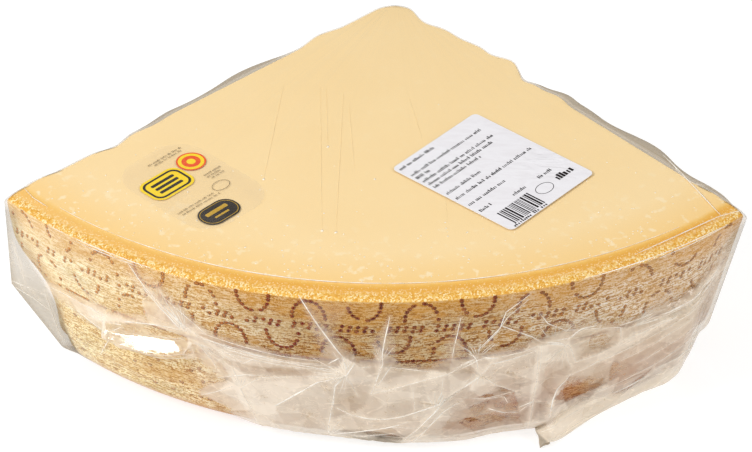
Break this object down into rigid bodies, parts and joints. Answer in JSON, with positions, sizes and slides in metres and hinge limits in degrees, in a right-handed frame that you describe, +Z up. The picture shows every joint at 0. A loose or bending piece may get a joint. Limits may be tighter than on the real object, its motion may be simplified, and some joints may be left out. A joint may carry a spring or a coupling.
{
  "type": "sealed hard cheese wedge",
  "caption": "Quarter-circle, half-height piece of a large hard cheese wheel, sealed in clear film, with a paper label and a clear printed label on its smooth cut top.",
  "frame": {"origin": "on the surface that the piece rests on, half the wheel's radius in front of the wheel's axis on the middle line of the sector", "axes": "+Z up to the smooth cut, the rounded rind faces -Y, and the two rough cut faces meet at the wheel's axis at +Y"},
  "size_m": [0.3196, 0.2192, 0.0956],
  "materials": {
    "cheese_and_film": "clear film drawn tight over cream paste and tan rind",
    "cheese": "smooth cut cream paste, golden edge and dry tan rind",
    "clear_film": "clear glossy film, milky where it hangs in folds",
    "label_paper": "white satin paper with plain black print",
    "label_foil": "clear glossy foil with coloured print"
  },
  "bodies": {
    "root": {"sealed_cheese": "cheese_and_film", "paper_label": "label_paper", "clear_label": "label_foil"}
  },
  "joints": []
}
